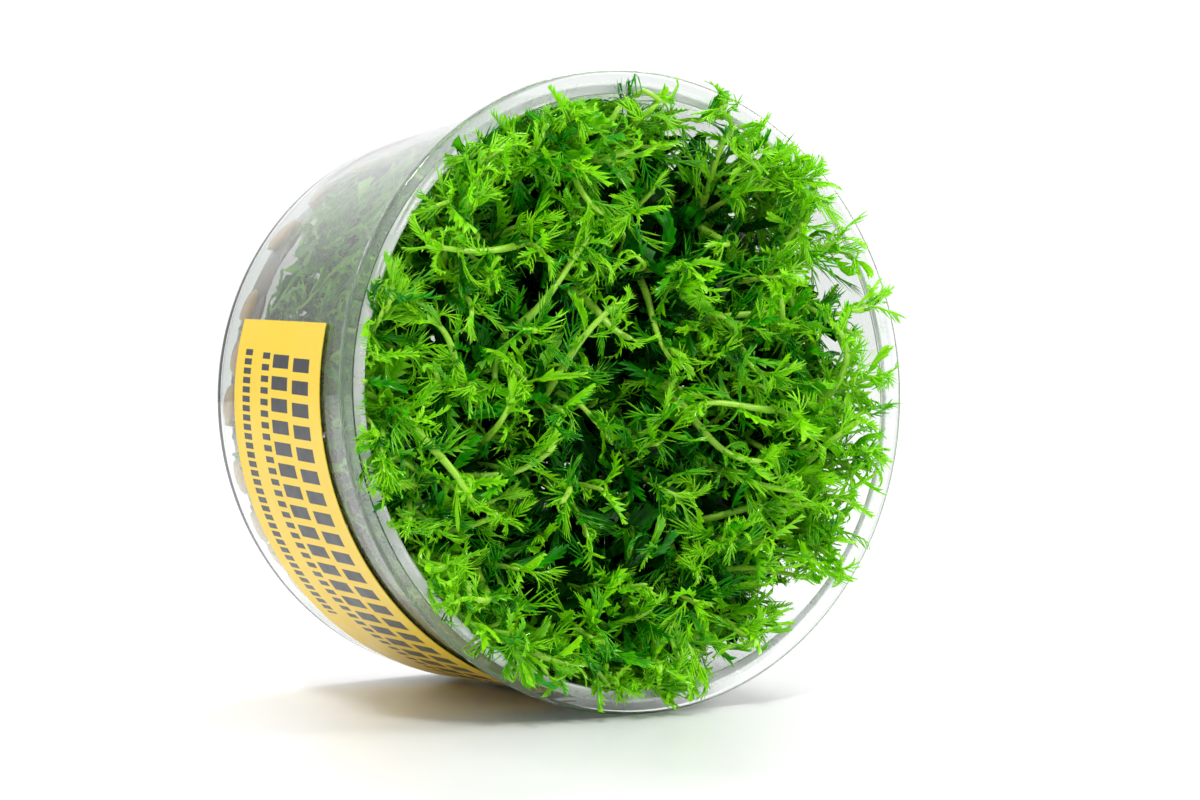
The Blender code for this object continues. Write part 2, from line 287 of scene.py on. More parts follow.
class StageSettings(bpy.types.PropertyGroup):
    """The white studio round the cup."""

    floor: colour_prop("Floor", "Colour of the floor", (0.86, 0.86, 0.86))
    surround: level_prop("Surround", "Brightness of the white surround", 1.04)
    front: level_prop("Front", "Brightness low down on the photographer's side", 0.28)
    left: level_prop("Left", "Brightness added low down on the left", 0.32)
    overhead: level_prop("Overhead", "Brightness high up behind the cup", 1.92)
    key: bpy.props.FloatProperty(
        name="Key light", description="Power of the main softbox", default=4.0, min=0.0,
        unit="POWER",
    )


def cup_place():
    """The cup's frame: Z along its axis with the mouth at 0, lying on its flange and base edge."""
    run = CUP_DEPTH - BASE_ROUND - FLANGE_THICKNESS
    drop = FLANGE_RADIUS - (BASE_RADIUS - BASE_ROUND)
    tilt = math.atan2(drop, run) - math.asin(BASE_ROUND / math.hypot(drop, run))
    turn = Matrix.Rotation(math.pi / 2.0 - tilt, 4, "X")
    lowest = turn @ Vector((0.0, -FLANGE_RADIUS, -FLANGE_THICKNESS))
    foremost = turn @ Vector((0.0, -FLANGE_RADIUS, 0.0))
    return Matrix.Translation((0.0, CUP_LOW.y - foremost.y, -lowest.z)) @ turn


PLACE = cup_place()
TURN = np.array(PLACE.to_3x3())
SHIFT = np.array(PLACE.translation)


def wall_radius(height):
    """Outer radius of the cup's wall at a height on its axis."""
    fall = (-height - FLANGE_THICKNESS) / (CUP_DEPTH - FLANGE_THICKNESS)
    return WALL_TOP_RADIUS + (BASE_RADIUS - WALL_TOP_RADIUS) * np.maximum(0.0, fall)


def inner_radius(height):
    """Inner radius of the cup's wall at a height on its axis."""
    return wall_radius(height) - WALL


def mesh_object(name, points, faces, values=None, kinds=None, looks=()):
    """A piece in the cup's frame, smooth, from arrays of points and faces."""
    mesh = bpy.data.meshes.new(name)
    world = points @ TURN.T + SHIFT
    mesh.from_pydata(world.tolist(), [], faces)
    for look in looks:
        mesh.materials.append(look)
    if values is not None:
        # The young attribute holds leaf youth with painted shade and painted light mixed in
        young = mesh.attributes.new("young", "FLOAT", "POINT")
        young.data.foreach_set("value", np.asarray(values, np.float32))
    if kinds is not None:
        mesh.polygons.foreach_set("material_index", np.asarray(kinds, np.int32))
    mesh.shade_smooth()
    made = bpy.data.objects.new(name, mesh)
    bpy.context.collection.objects.link(made)
    return made


def turned(name, profile, sides, looks):
    """A piece turned round the cup's axis, from a profile that starts and ends on the axis."""
    points, faces, rings = [], [], []
    for radius, height in profile:
        if radius == 0.0:
            rings.append([len(points)] * sides)
            points.append((0.0, 0.0, height))
            continue
        rings.append(list(range(len(points), len(points) + sides)))
        for k in range(sides):
            angle = 2.0 * math.pi * k / sides
            points.append((radius * math.cos(angle), radius * math.sin(angle), height))
    for first, second in zip(rings, rings[1:]):
        for k in range(sides):
            after = (k + 1) % sides
            corners = (first[k], first[after], second[after], second[k])
            faces.append(tuple(dict.fromkeys(corners)))
    made = mesh_object(name, np.array(points), faces, looks=looks)
    made.data.set_sharp_from_angle(angle=SHARP_ANGLE)
    return made


def arc(centre, radius, start, end, steps):
    """Points of an arc, with angles in degrees."""
    points = []
    for k in range(steps + 1):
        angle = math.radians(start + (end - start) * k / steps)
        points.append((centre[0] + radius * math.cos(angle), centre[1] + radius * math.sin(angle)))
    return points


def join(tree, value, socket):
    """Give a value to a socket, or link another socket to it."""
    if isinstance(value, bpy.types.NodeSocket):
        tree.links.new(value, socket)
    else:
        socket.default_value = value


def feed(tree, node, **inputs):
    """Set or link some of a node's input sockets."""
    for name, value in inputs.items():
        join(tree, value, node.inputs[name.replace("_", " ")])
    return node


def use_node(tree, kind, **inputs):
    """A new node with some of its input sockets set or linked."""
    return feed(tree, tree.nodes.new(kind), **inputs)


def calculate(tree, operation, first, second):
    """The value of a sum on two values."""
    node = tree.nodes.new("ShaderNodeMath")
    node.operation = operation
    join(tree, first, node.inputs[0])
    join(tree, second, node.inputs[1])
    return node.outputs["Value"]


def mix_colours(tree, share, first, second, blend="MIX"):
    """A colour between two, by a share from 0 to 1."""
    node = tree.nodes.new("ShaderNodeMix")
    node.data_type = "RGBA"
    node.blend_type = blend
    return feed(tree, node, Factor=share, A=first, B=second).outputs["Result"]


def attribute(tree, name):
    """The value of one of the mesh's attributes."""
    node = tree.nodes.new("ShaderNodeAttribute")
    node.attribute_name = name
    return node.outputs["Fac"]


def absorb(tree, output, density, tint):
    """Let a see-through material take on a tint in its depth."""
    depth = use_node(tree, "ShaderNodeVolumeAbsorption", Density=density, Color=(*tint, 1.0))
    feed(tree, output, Volume=depth.outputs["Volume"])


def new_material(name):
    """An empty material with its Principled shader linked to the output."""
    look = bpy.data.materials.new(name)
    look.use_nodes = True
    tree = look.node_tree
    tree.nodes.clear()
    shader = tree.nodes.new("ShaderNodeBsdfPrincipled")
    output = tree.nodes.new("ShaderNodeOutputMaterial")
    feed(tree, output, Surface=shader.outputs["BSDF"])
    return look, tree, shader, output


def new_group(name, given, result):
    """A node group of numbers: its inputs with their defaults, and one output."""
    group = bpy.data.node_groups.new(name, "ShaderNodeTree")
    for label, default in given:
        socket = group.interface.new_socket(label, in_out="INPUT", socket_type="NodeSocketFloat")
        socket.default_value = default
    group.interface.new_socket(result, in_out="OUTPUT", socket_type="NodeSocketFloat")
    entry = group.nodes.new("NodeGroupInput")
    leave = group.nodes.new("NodeGroupOutput")
    return group, entry.outputs, leave.inputs[result]


def mottle_group():
    """A value that varies over the surface between two levels."""
    found = bpy.data.node_groups.get("surface_mottle")
    if found:
        return found
    levels = (("Scale", 200.0), ("Detail", 3.0), ("Low", 0.0), ("High", 1.0))
    group, given, result = new_group("surface_mottle", levels, "Value")
    place = group.nodes.new("ShaderNodeTexCoord")
    noise = use_node(group, "ShaderNodeTexNoise", Vector=place.outputs["Object"],
                     Scale=given["Scale"], Detail=given["Detail"])
    spread = use_node(group, "ShaderNodeMapRange", Value=noise.outputs["Fac"],
                      From_Min=0.3, From_Max=0.7, To_Min=given["Low"], To_Max=given["High"])
    group.links.new(spread.outputs["Result"], result)
    return group


def mottle(tree, scale, low, high, detail=3.0):
    """Place the mottle group in a material and give its output."""
    node = tree.nodes.new("ShaderNodeGroup")
    node.node_tree = mottle_group()
    return feed(tree, node, Scale=scale, Detail=detail, Low=low, High=high).outputs["Value"]


def relief(tree, shader, height, distance):
    """Feed a height into the shader's normal."""
    bump = use_node(tree, "ShaderNodeBump", Strength=1.0, Distance=distance, Height=height)
    feed(tree, shader, Normal=bump.outputs["Normal"])


def see_through(name, colour, clear, ior, roughness):
    """A see-through material, with its roughness as the settings of its mottle."""
    look, tree, shader, output = new_material(name)
    feed(tree, shader, Base_Color=(*colour, 1.0), Transmission_Weight=clear, IOR=ior,
         Roughness=mottle(tree, *roughness))
    return look, tree, shader, output


def clear_plastic(settings):
    """Clear moulded plastic with a faint haze and wavy reflections."""
    look, tree, shader, output = see_through(
        "clear_plastic", (0.96, 0.98, 0.97), 0.965, 1.49, (90.0, 0.0, 0.008))
    relief(tree, shader, mottle(tree, 60.0, 0.0, 1.0, 1.0), 0.000015)
    absorb(tree, output, 75.0, settings.tint)
    return look


def moulded_rim():
    """The slightly frosted end face of the cup's wall, which gathers the light in the plastic."""
    return see_through("moulded_rim", (0.90, 0.92, 0.93), 0.50, 1.49, (300.0, 0.15, 0.45))[0]


def dash_group():
    """A row of plain dashes along a strip: 1 on a dash and 0 off it."""
    names = ("Along", "Across", "First", "Last", "Middle", "Half Height", "Pitch", "Share")
    group, given, mask = new_group("plain_dashes", [(name, 0.0) for name in names], "Mask")
    offset = calculate(group, "SUBTRACT", given["Across"], given["Middle"])
    offset = calculate(group, "ABSOLUTE", offset, 0.0)
    in_row = calculate(group, "LESS_THAN", offset, given["Half Height"])
    run = calculate(group, "SUBTRACT", given["Along"], given["First"])
    after = calculate(group, "GREATER_THAN", run, 0.0)
    before = calculate(group, "LESS_THAN", given["Along"], given["Last"])
    beat = calculate(group, "FRACT", calculate(group, "DIVIDE", run, given["Pitch"]), 0.0)
    on = calculate(group, "LESS_THAN", beat, given["Share"])
    inside = calculate(group, "MULTIPLY", calculate(group, "MULTIPLY", after, before), in_row)
    group.links.new(calculate(group, "MULTIPLY", inside, on), mask)
    return group


# Each row of dashes: first, last, middle, half height, pitch and inked share, all as shares of
# the label
DASH_ROWS = (
    (0.070, 0.930, 0.784, 0.093, 0.0420, 0.62),
    (0.066, 0.930, 0.542, 0.093, 0.0420, 0.62),
    (0.064, 0.900, 0.364, 0.044, 0.0225, 0.55),
    (0.060, 0.640, 0.146, 0.044, 0.0185, 0.66),
)


def label_paper(settings):
    """Printed yellow paper with plain dark dashes in rows and a faint mottle."""
    look, tree, shader, _ = new_material("label_paper")
    place = tree.nodes.new("ShaderNodeUVMap")
    place.uv_map = "wrap"
    split = use_node(tree, "ShaderNodeSeparateXYZ", Vector=place.outputs["UV"])
    group = dash_group()
    ink = None
    for row in DASH_ROWS:
        node = tree.nodes.new("ShaderNodeGroup")
        node.node_tree = group
        feed(tree, node, Along=split.outputs["X"], Across=split.outputs["Y"])
        for socket, value in zip(list(node.inputs)[2:], row):
            socket.default_value = value
        mask = node.outputs["Mask"]
        ink = mask if ink is None else calculate(tree, "MAXIMUM", ink, mask)
    faded = tuple(0.9 * level + 0.1 for level in settings.paper)
    grain = mottle(tree, 45.0, 0.0, 0.35, 4.0)
    paper = mix_colours(tree, grain, (*settings.paper, 1.0), (*faded, 1.0))
    printed = mix_colours(tree, ink, paper, (*settings.ink, 1.0))
    feed(tree, shader, Base_Color=printed, IOR=1.48, Roughness=mottle(tree, 400.0, 0.28, 0.42))
    relief(tree, shader, mottle(tree, 2500.0, 0.0, 1.0), 0.00001)
    return look


def growing_gel(settings):
    """Cloudy see-through gel."""
    look, tree, shader, output = see_through(
        "growing_gel", (0.95, 0.94, 0.93), 0.9, 1.34, (250.0, 0.02, 0.20))
    relief(tree, shader, mottle(tree, 420.0, 0.0, 1.0), 0.0001)
    absorb(tree, output, 60.0, settings.tint)
    return look


def leaf_tissue(settings):
    """Wet leaf: dark when old or in painted shade, lime green when young or in painted light."""
    look, tree, shader, output = new_material("leaf_tissue")
    age = calculate(tree, "ADD", attribute(tree, "young"), mottle(tree, 700.0, -0.12, 0.12))
    ramp = use_node(tree, "ShaderNodeValToRGB", Fac=age)
    # The old colour is also the painted shade deep down, the young one the painted light
    colours = (settings.old_and_painted_shade_colour, settings.grown_colour, settings.young_colour)
    ramp.color_ramp.elements.new(0.5)
    for stop, where, colour in zip(ramp.color_ramp.elements, (0.0, 0.46, 1.0), colours):
        stop.position = where
        stop.color = (*colour, 1.0)
    feed(tree, shader, Base_Color=ramp.outputs["Color"], IOR=1.32, Coat_Weight=0.42,
         Coat_Roughness=0.06, Roughness=mottle(tree, 500.0, 0.20, 0.45))
    through = use_node(tree, "ShaderNodeBsdfTranslucent", Color=ramp.outputs["Color"])
    both = use_node(tree, "ShaderNodeMixShader", Fac=0.22)
    tree.links.new(shader.outputs["BSDF"], both.inputs[1])
    tree.links.new(through.outputs["BSDF"], both.inputs[2])
    feed(tree, output, Surface=both.outputs["Shader"])
    return look


def stem_tissue(settings):
    """Smooth pale stem with a slightly rough wet skin."""
    look, tree, shader, _ = new_material("stem_tissue")
    root, stem = (*settings.root_colour, 1.0), (*settings.stem_colour, 1.0)
    clean = mix_colours(tree, attribute(tree, "young"), root, stem)
    spots = mottle(tree, 900.0, 0.0, 0.30)
    spotted = mix_colours(tree, spots, clean, (0.55, 0.70, 0.35, 1.0), "MULTIPLY")
    feed(tree, shader, Base_Color=spotted, IOR=1.42, Coat_Weight=0.3, Coat_Roughness=0.1,
         Roughness=mottle(tree, 700.0, 0.18, 0.40))
    relief(tree, shader, mottle(tree, 3000.0, 0.0, 1.0), 0.00004)
    return look


class Growth:
    """Collects the points, faces and ages of one shoot."""

    def __init__(self):
        self.points = []
        self.faces = []
        self.ages = []
        self.kinds = []
        self.count = 0

    def add(self, points, faces, ages, kind):
        """Add arrays of points, faces and ages that belong together."""
        self.points.append(points)
        self.ages.append(ages)
        for block in faces:
            self.faces.extend((block + self.count).tolist())
            self.kinds.extend([kind] * len(block))
        self.count += len(points)


def unit(vectors):
    """Vectors made one long."""
    return vectors / np.maximum(np.linalg.norm(vectors, axis=-1, keepdims=True), 1e-12)


def tube_faces(tubes, rings, sides):
    """Faces of tubes that end in a point, each with the same rings and sides."""
    stride = (rings - 1) * sides + 1
    start = np.arange(tubes)[:, None, None] * stride
    ring = np.arange(rings - 2)[None, :, None] * sides
    corner = np.arange(sides)[None, None, :]
    after = (corner + 1) % sides
    low = start + ring
    quads = np.stack([low + corner, low + after, low + sides + after, low + sides + corner], -1)
    last = start + (rings - 2) * sides
    tip = start + (rings - 1) * sides + 0 * corner
    tris = np.stack([last + corner, last + after, tip], -1)
    return quads.reshape(-1, 4), tris.reshape(-1, 3)


def tubes(lines, across, flat_to, widths, flatness, sides):
    """Points of tubes round lines: arrays of tube, ring and side, and then a point at each end."""
    angles = 2.0 * np.pi * (np.arange(sides) + 0.25) / sides
    ring = np.cos(angles)[None, None, :, None] * across[:, None, None, :]
    ring = ring + flatness * np.sin(angles)[None, None, :, None] * flat_to[:, None, None, :]
    body = lines[:, :-1, None, :] + ring * widths[:, :-1, None, None]
    body = body.reshape(len(lines), -1, 3)
    return np.concatenate([body, lines[:, -1:, :]], axis=1)


def along_line(places, stations, values):
    """Values at places along a line, from those at its stations."""
    return np.stack([np.interp(places, stations, values[:, axis]) for axis in range(3)], -1)


def leaf_midrib(base, forward, up, form):
    """A leaf's midrib, which arcs and sways, with its headings and its stations from 0 to 1."""
    side = np.cross(forward, up)
    s = np.linspace(0.0, 1.0, form["steps"])
    bend = form["curl"] * s ** 1.2
    drift = form["sway"] * s
    heading = (np.cos(bend) * np.cos(drift))[:, None] * forward
    heading = heading + (np.cos(bend) * np.sin(drift))[:, None] * side + np.sin(bend)[:, None] * up
    midrib = np.zeros((len(s), 3))
    between = 0.5 * (heading[1:] + heading[:-1])
    midrib[1:] = np.cumsum(between, axis=0) * form["length"] / (len(s) - 1)
    return midrib + base, heading, s


def leaf_threads(midrib, heading, s, side, form, chance):
    """Where the threads of a leaf start, which way they go, how long they are and what is up."""
    pairs = form["pairs"]
    hand = np.tile([1.0, -1.0], pairs)
    stagger = 0.5 if form["webbed"] else 0.5 + 0.25 * hand
    along = 0.08 + 0.88 * (np.repeat(np.arange(pairs), 2) + stagger) / pairs
    root = along_line(along, s, midrib)
    ahead = unit(along_line(along, s, heading))
    out = unit(side - (ahead @ side)[:, None] * ahead)
    top = np.cross(out, ahead)
    twist = (form["twist"] * along)[:, None]
    out, top = np.cos(twist) * out + np.sin(twist) * top, np.cos(twist) * top - np.sin(twist) * out
    angle = form["spread"] * (1.15 - 0.45 * along) + chance.normal(0.0, 0.07, len(along))
    lift = chance.normal(form["lift"], 0.05 if form["webbed"] else 0.12, len(along))
    direction = np.cos(angle)[:, None] * ahead + (hand * np.sin(angle))[:, None] * out
    direction = unit(direction + (lift * np.sin(angle) * 2.0)[:, None] * top)
    size = form["reach"] * np.interp(along, (0.08, 0.38, 0.72, 0.96), (0.60, 1.0, 0.86, 0.50))
    size = size * chance.uniform(0.84, 1.12, len(along))
    return root, ahead, top, direction, size


def add_leaf(growth, base, forward, up, form, chance):
    """One feathery leaf: a midrib with a row of threads on each side, open or webbed by water."""
    side = np.cross(forward, up)
    midrib, heading, s = leaf_midrib(base, forward, up, form)
    widths = form["thread"] * np.linspace(1.5, 0.8, len(s))
    body = tubes(midrib[None], side[None], up[None], widths[None], 0.8, 3)
    ages = form["young"] + np.append(np.repeat(0.08 * s[:-1], 3), 0.08)
    growth.add(body.reshape(-1, 3), tube_faces(1, len(s), 3), ages, 0)
    threads = leaf_threads(midrib, heading, s, side, form, chance)
    if form["webbed"]:
        add_webs(growth, midrib, threads, form)
    else:
        add_threads(growth, threads, form)


def add_threads(growth, threads, form):
    """Free threads, each a fine three-sided taper that bends forward."""
    root, ahead, top, direction, size = threads
    u = np.array(form["rings"])
    lines = root[:, None, :] + (size[:, None] * u)[:, :, None] * direction[:, None, :]
    pull = form["hook"][0] * ahead + form["hook"][1] * top
    lines = lines + (size[:, None] * u ** 2)[:, :, None] * pull[:, None, :]
    taper = form["thread"] * np.interp(u, (0.0, 0.3, 0.75, 1.0), (0.75, 1.0, 0.8, 0.3))
    across = unit(np.cross(direction, top))
    facing = np.cross(across, direction)
    fine = tubes(lines, across, facing, np.repeat(taper[None], len(size), 0), 0.7, 3)
    ages = form["young"] + np.append(np.repeat(0.10 * u[:-1], 3), 0.14)
    ages = np.tile(ages, len(size))
    growth.add(fine.reshape(-1, 3), tube_faces(len(size), len(u), 3), ages, 0)


def add_webs(growth, midrib, threads, form):
    """Threads that water has drawn into a pleated blade with pointed ends."""
    root, _, top, direction, size = threads
    pairs, web, pleat = form["pairs"], form["web"], form["pleat"]
    for hand in (0, 1):
        m, up = root[hand::2], top[hand::2]
        reach = size[hand::2, None] * direction[hand::2]
        ridge = m + 0.55 * reach + pleat * up
        tip = m + reach
        between = np.concatenate([m[:1], 0.5 * (m[1:] + m[:-1]), midrib[-1:]])
        pull = np.concatenate([0.8 * reach[:1], 0.5 * (reach[1:] + reach[:-1]), 0.7 * reach[-1:]])
        level = np.concatenate([up[:1], up])
        notch = between + web * pull - pleat * level
        points = np.concatenate([m, ridge, tip, between, notch])
        k = np.arange(pairs)
        at_m, at_ridge, at_tip = k, pairs + k, 2 * pairs + k
        low, high = 3 * pairs + k, 3 * pairs + k + 1
        notch_low, notch_high = 4 * pairs + 1 + k, 4 * pairs + 2 + k
        quads = np.concatenate([
            np.stack([low, at_m, at_ridge, notch_low], -1),
            np.stack([at_m, high, notch_high, at_ridge], -1),
        ])
        tris = np.concatenate([
            np.stack([notch_low, at_ridge, at_tip], -1),
            np.stack([at_ridge, notch_high, at_tip], -1),
        ])
        rise = np.concatenate([
            np.zeros(pairs), np.full(pairs, 0.06), np.full(pairs, 0.16),
            np.zeros(pairs + 1), np.full(pairs + 1, -0.06),
        ])
        growth.add(points, (quads, tris), form["young"] + rise, 0)


def leaf_form(settings, chance, size, young, detail):
    """Choose how one leaf lies."""
    shares = np.array([habit[0] if detail or habit[1] else 0.0 for habit in LEAF_HABITS])
    habit = LEAF_HABITS[chance.choice(len(shares), p=shares / shares.sum())]
    _, webbed, spread, curl, pairs, reach, web, lift, lighter = habit
    short = size ** 0.7
    length = settings.leaf_length * size * chance.uniform(0.75, 1.15)
    return {
        "length": length * (1.0 if detail else DEEP_LENGTH),
        "webbed": webbed, "spread": math.radians(chance.uniform(*spread)),
        "curl": chance.uniform(*curl) * chance.choice((1.0, 1.0, -1.0)),
        "sway": chance.normal(0.0, 0.4), "twist": chance.normal(0.0, 0.8),
        "pairs": pairs if detail else pairs - 2,
        "steps": 8 if detail and curl[0] > 1.0 else 5 if detail else 4,
        "reach": settings.thread_length * reach * short * (1.0 if detail else DEEP_REACH),
        "thread": settings.thread * (1.0 if detail else DEEP_THREAD),
        "pleat": 0.6 * settings.thread,
        "web": chance.uniform(*(web if detail else DEEP_WEB)), "lift": chance.uniform(*lift),
        "hook": (chance.uniform(0.05, 0.65), chance.normal(0.0, 0.34)),
        "rings": (0.0, 0.38, 0.74, 1.0) if detail == 2 else (0.0, 0.5, 1.0),
        "young": young + lighter + chance.normal(0.0, 0.12),
    }


def polar(reach, angle, height):
    """A point in the cup's frame from its distance, angle and height."""
    return np.array((reach * math.cos(angle), reach * math.sin(angle), height))


def root_place(index):
    """Where a shoot is planted in the gel."""
    radius = ROOT_SPREAD * ((index + 0.5) / len(SHOOTS)) ** ROOT_EVENNESS
    return polar(radius, index * GOLDEN_ANGLE, 0.0)


def stem_course(index, t):
    """Points on a shoot's main stem, from t = 0 at the gel to t = 1 at the growing tip."""
    chance = random.Random(STEM_SEED + index)
    sway = [chance.uniform(0.0, 2.0 * math.pi) for _ in range(WAVES)]
    drop = chance.uniform(*TIP_DROP)
    root = root_place(index)
    t = np.asarray(t, float)[:, None]
    base = root + np.array((0.0, 0.0, GEL_SURFACE))
    tip = root * TIP_SPREAD + np.array((0.0, 0.0, TIP_RISE - drop))
    points = base + (tip - base) * t
    for wave, turn in enumerate(sway):
        rate = WAVE_RATE[0] + WAVE_RATE[1] * wave
        size = WAVE_SIZE * np.sin(np.pi * t * rate) / (1.0 + WAVE_FADE * wave)
        points = points + size * polar(1.0, turn, 0.0)
    reach = np.hypot(points[:, 0], points[:, 1])
    limit = inner_radius(np.minimum(0.0, points[:, 2])) - STEM_WALL_GAP
    points[:, :2] *= np.minimum(1.0, limit / np.maximum(reach, 1e-9))[:, None]
    return points


def branch_course(start, ahead, target, finish, steps):
    """A smooth side stem from a point on another stem to a place near the mouth."""
    span = np.linalg.norm(target - start)
    pull = start + 0.42 * span * ahead
    push = target - 0.42 * span * finish
    t = np.linspace(0.0, 1.0, steps)[:, None]
    curve = (1 - t) ** 3 * start + 3 * (1 - t) ** 2 * t * pull
    return curve + 3 * (1 - t) * t ** 2 * push + t ** 3 * target


def line_frames(points, towards):
    """Directions along a line and two directions across it."""
    ahead = unit(np.gradient(points, axis=0))
    side = unit(towards - (ahead @ towards)[:, None] * ahead)
    return ahead, side, np.cross(ahead, side)


def add_stem(growth, points, radii, age):
    """A round stem that tapers to a point."""
    ahead, side, across = line_frames(points, np.array((0.31, 0.87, 0.12)))
    angles = 2.0 * np.pi * np.arange(STEM_SIDES) / STEM_SIDES
    ring = np.cos(angles)[None, :, None] * side[:, None, :]
    ring = ring + np.sin(angles)[None, :, None] * across[:, None, :]
    body = points[:-1, None, :] + ring[:-1] * radii[:-1, None, None]
    body = np.concatenate([body.reshape(-1, 3), points[-1:]])
    ages = np.append(np.repeat(age[:-1], STEM_SIDES), age[-1])
    growth.add(body, tube_faces(1, len(points), STEM_SIDES), ages, 1)


def leaf_frame(ahead, side, across, turn, lean, chance):
    """Which way a leaf of a whorl goes, and which way is up on it."""
    out = math.cos(turn) * side + math.sin(turn) * across
    lean = lean + chance.normal(0.0, 0.22)
    forward = math.cos(lean) * ahead + math.sin(lean) * out
    up = math.sin(lean) * ahead - math.cos(lean) * out
    roll = chance.normal(0.0, 0.5)
    return forward, math.cos(roll) * up + math.sin(roll) * np.cross(forward, up)


def add_whorls(growth, points, settings, chance, first, spacing, young, size, opening):
    """Whorls of leaves along a stem, closer and younger towards its tip."""
    ahead, side, across = line_frames(points, np.array((0.87, -0.31, 0.12)))
    lengths = np.append(0.0, np.cumsum(np.linalg.norm(np.diff(points, axis=0), axis=1)))
    total = lengths[-1]
    at, roll = first, chance.uniform(0.0, 2.0 * np.pi)
    shade = chance.normal(*SHADE)
    while at < total:
        place = along_line(at, lengths, points)
        near = min(int(np.searchsorted(lengths, at)), len(points) - 1)
        grown = min(1.0, (total - at) / YOUNG_END)
        lean = math.radians(TIP_LEAN + opening * grown)
        scale = size * (TIP_SIZE + GROWN_SIZE * grown)
        youth_and_painted_light = young[0] + (young[1] - young[0]) * (at / total) ** 2 + TIP_YOUTH * (1.0 - grown)
        # Random tone per stem, plus painted shade that darkens leaves the deeper they sit
        youth_and_painted_light += shade + np.clip(DEPTH_FALL * (place[2] - DEPTH_START) / DEPTH_RANGE, *DEPTH_SHADE)
        reach = math.hypot(place[0], place[1])
        # Painted light: leaves by the wall are painted lighter, for light through the clear wall
        if reach > WALL_REACH and place[2] < WALL_HEIGHT:
            youth_and_painted_light = max(youth_and_painted_light, chance.uniform(*WALL_PAINTED_LIGHT))
        # Painted backlight: leaves towards the right are painted lighter
        right = np.clip((place[0] - RIGHT_START) / RIGHT_WIDTH, 0.0, 1.0)
        youth_and_painted_light += RIGHT_PAINTED_LIGHT * right
        plain = place[2] > PLAIN_HEIGHT or reach > PLAIN_REACH
        detail = 2 if place[2] > FINE_HEIGHT else 1 if plain else 0
        missing = MISSING_LEAVES if detail else MISSING_DEEP
        if place[2] < RIGHT_HEIGHT:
            missing += MISSING_AT_RIGHT * right
        for k in range(WHORL_LEAVES):
            if chance.uniform() < missing:
                continue
            turn = roll + 2.0 * np.pi * k / WHORL_LEAVES + chance.normal(0.0, 0.18)
            forward, up = leaf_frame(ahead[near], side[near], across[near], turn, lean, chance)
            form = leaf_form(settings, chance, scale, youth_and_painted_light, detail)
            add_leaf(growth, place, forward, up, form, chance)
        roll += math.pi / 4.0 + chance.normal(0.0, 0.1)
        at += spacing * (0.35 + 0.65 * grown)


def add_leafy_stem(growth, course, age, settings, chance, first, spacing, young, size,
                   opening=OPENING):
    """A stem from its course and radii, with its whorls of leaves."""
    points, radii = course
    add_stem(growth, points, radii, np.full(len(points), age))
    add_whorls(growth, points, settings, chance, first, spacing, young, size, opening)


def add_crown(growth, index):
    """The pale root crown in the gel, thick in the middle."""
    top = stem_course(index, (0.0, 0.03))
    share = np.linspace(0.0, 1.0, CROWN_STEPS)
    points = np.repeat(top[:1], CROWN_STEPS, 0)
    points[:, 2] = CROWN_BOTTOM + share * (top[1, 2] - CROWN_BOTTOM)
    points[-1] = top[1]
    ages = np.interp(share, (0.0, 0.7, 0.9, 1.0), (0.0, 0.0, 0.6, 0.9))
    add_stem(growth, points, np.interp(share, CROWN_SHARES, CROWN_RADII), ages)


def add_buds(growth, index, chance):
    """The fleshy pale roots that swell out along the wall from an outer crown."""
    root = root_place(index)
    bearing = math.atan2(root[1], root[0])
    t = np.linspace(0.0, 1.0, BUD_STEPS)[:, None]
    for step in BUD_ANGLES:
        angle = bearing + math.radians(step + chance.uniform(-3.0, 3.0))
        height = chance.uniform(*BUD_HEIGHTS)
        centre = polar(inner_radius(height) - chance.uniform(0.0, 0.0012), angle, height)
        along = np.array((-math.sin(angle), math.cos(angle), chance.uniform(-0.7, 0.7)))
        along = math.copysign(BUD_LENGTH, step) * unit(along)
        start = root + np.array((0.0, 0.0, height))
        joined = centre - 0.5 * along
        stalk = start + (joined - start) * np.clip(t / 0.35, 0.0, 1.0)
        points = stalk + along * np.clip((t - 0.35) / 0.65, 0.0, 1.0)
        swell = np.sin(np.pi * np.clip((t[:, 0] - 0.30) / 0.70, 0.0, 1.0)) ** 0.7
        radii = BUD_STALK + (BUD_RADIUS * chance.uniform(0.8, 1.0) - BUD_STALK) * swell
        add_stem(growth, points, radii, 0.25 * (1.0 - swell))


def press(points):
    """Hold points inside the wall, or over the flange at the mouth, as wet leaves lie."""
    reach = np.hypot(points[:, 0], points[:, 1])
    height = points[:, 2]
    wall = inner_radius(np.minimum(0.0, height)) - PRESS_GAP
    free = np.clip((height - MOUTH_START) / MOUTH_RISE, 0.0, 1.0)
    limit = wall + free * (FLANGE_RADIUS + FLANGE_OVERHANG - wall)
    over = np.maximum(0.0, reach - (limit - PRESS_SOFTNESS))
    held = np.where(over > 0.0, limit - PRESS_SOFTNESS * np.exp(-over / PRESS_SOFTNESS), reach)
    points[:, :2] *= (held / np.maximum(reach, 1e-9))[:, None]
    ground = points @ TURN[2] + SHIFT[2]
    points += np.maximum(0.0, FLOOR_GAP - ground)[:, None] * TURN[2]
    return points


def nearby(centre, distances, heights, chance):
    """A place in the mouth at some distance from a centre."""
    turn, far = chance.uniform(0.0, 2.0 * np.pi), chance.uniform(*distances)
    place = centre + polar(far, turn, 0.0)
    place *= min(1.0, MOUTH_REACH / math.hypot(place[0], place[1]))
    place[2] = chance.uniform(*heights)
    return place


